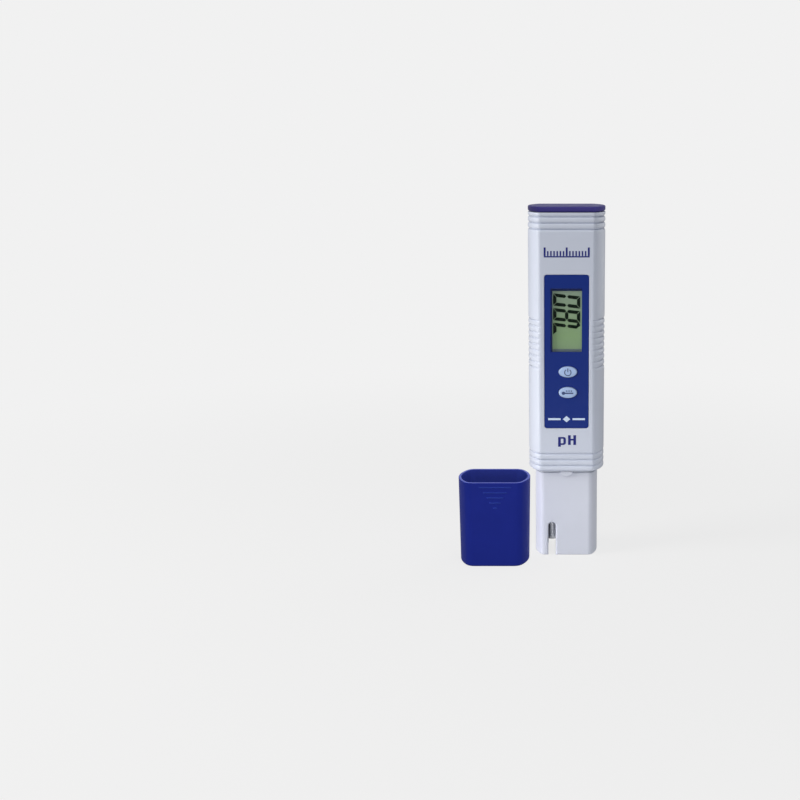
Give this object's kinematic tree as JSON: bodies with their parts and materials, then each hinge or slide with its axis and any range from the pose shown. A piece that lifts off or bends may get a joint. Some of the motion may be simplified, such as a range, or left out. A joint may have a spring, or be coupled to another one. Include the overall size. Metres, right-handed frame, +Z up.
{
  "type": "pen-type ph tester",
  "caption": "Pocket pen-type pH tester with flat bowed-side body, display, oval keys, battery lid and slotted probe housing, with its open protective cap standing beside it.",
  "frame": {"origin": "bottom centre of the box around the standing pen and the cap beside it", "axes": "+Z up along the pen from its probe end to its battery lid, -Y the way the display and buttons face, +X to the pen's side away from the cap"},
  "size_m": [0.059, 0.0368, 0.1425],
  "materials": {
    "white_plastic": "cool white moulded plastic, satin",
    "housing_plastic": "cool white moulded plastic, satin",
    "lid_plastic": "violet-blue moulded plastic",
    "cap_plastic": "royal blue moulded plastic, satin gloss",
    "label_film": "printed blue polyester film",
    "window": "clear flat window",
    "key_plastic": "pale blue-grey moulded keys",
    "lcd_glass": "grey-green reflective display with black segments",
    "foil": "silver reflector film",
    "contact_rubber": "conductive striped rubber",
    "circuit_board": "green solder mask",
    "chip_resin": "black moulding compound",
    "steel": "plain steel",
    "contact_metal": "plated spring strip",
    "silver": "chlorided silver wire",
    "electrode_glass": "clear pH glass",
    "rubber": "black seal rubber",
    "black_plastic": "black moulded plastic",
    "frame_plastic": "natural moulded plastic",
    "ceramic": "porous white ceramic",
    "clear_plastic": "translucent plastic",
    "lead_black": "black insulation",
    "lead_red": "red insulation",
    "lead_white": "white insulation",
    "sponge": "open-cell cellulose sponge"
  },
  "bodies": {
    "pen": {"body_shell": "white_plastic", "front_label": "label_film", "display_window": "window", "power_switch": "black_plastic", "mode_switch": "black_plastic", "lcd_panel": "lcd_glass", "lcd_reflector": "foil", "lcd_frame": "black_plastic", "zebra_strip_left": "contact_rubber", "zebra_strip_right": "contact_rubber", "main_board": "circuit_board", "controller_chip": "chip_resin", "amplifier_chip": "chip_resin", "crystal_can": "steel", "inner_frame": "frame_plastic", "board_screw_1": "steel", "board_screw_2": "steel", "board_screw_3": "steel", "board_screw_4": "steel", "battery_holder": "black_plastic", "battery_cell_1": "steel", "battery_cell_2": "steel", "battery_cell_3": "steel", "positive_contact": "contact_metal", "negative_contact": "contact_metal", "probe_housing": "housing_plastic", "housing_seal": "rubber", "glass_electrode": "electrode_glass", "electrode_header": "black_plastic", "electrode_bushing": "rubber", "silver_wire": "silver", "temperature_probe": "steel", "reference_junction": "ceramic", "reference_reservoir": "clear_plastic", "reference_wire": "silver", "electrode_lead": "lead_black", "temperature_lead": "lead_red", "reference_lead": "lead_white"},
    "lid": {"battery_lid": "lid_plastic", "lid_seal": "rubber"},
    "power_key": {"power_button": "key_plastic"},
    "mode_key": {"mode_button": "key_plastic"},
    "cap": {"protective_cap": "cap_plastic", "cap_sponge": "sponge"}
  },
  "joints": [
    {"name": "power_press", "type": "slide", "parent": "pen", "child": "power_key", "axis": [0, 1, 0], "range_m": [0, 0.0006], "stiffness_N_per_m": 800},
    {"name": "mode_press", "type": "slide", "parent": "pen", "child": "mode_key", "axis": [0, 1, 0], "range_m": [0, 0.0006], "stiffness_N_per_m": 800},
    {"name": "lid_pull", "type": "slide", "parent": "pen", "child": "lid", "axis": [0, 0, 1], "range_m": [0, 0.02]},
    {"name": "cap_draw", "type": "slide", "parent": "pen", "child": "cap", "axis": [-1, 0, 0], "range_m": [0, 0.03]}
  ]
}
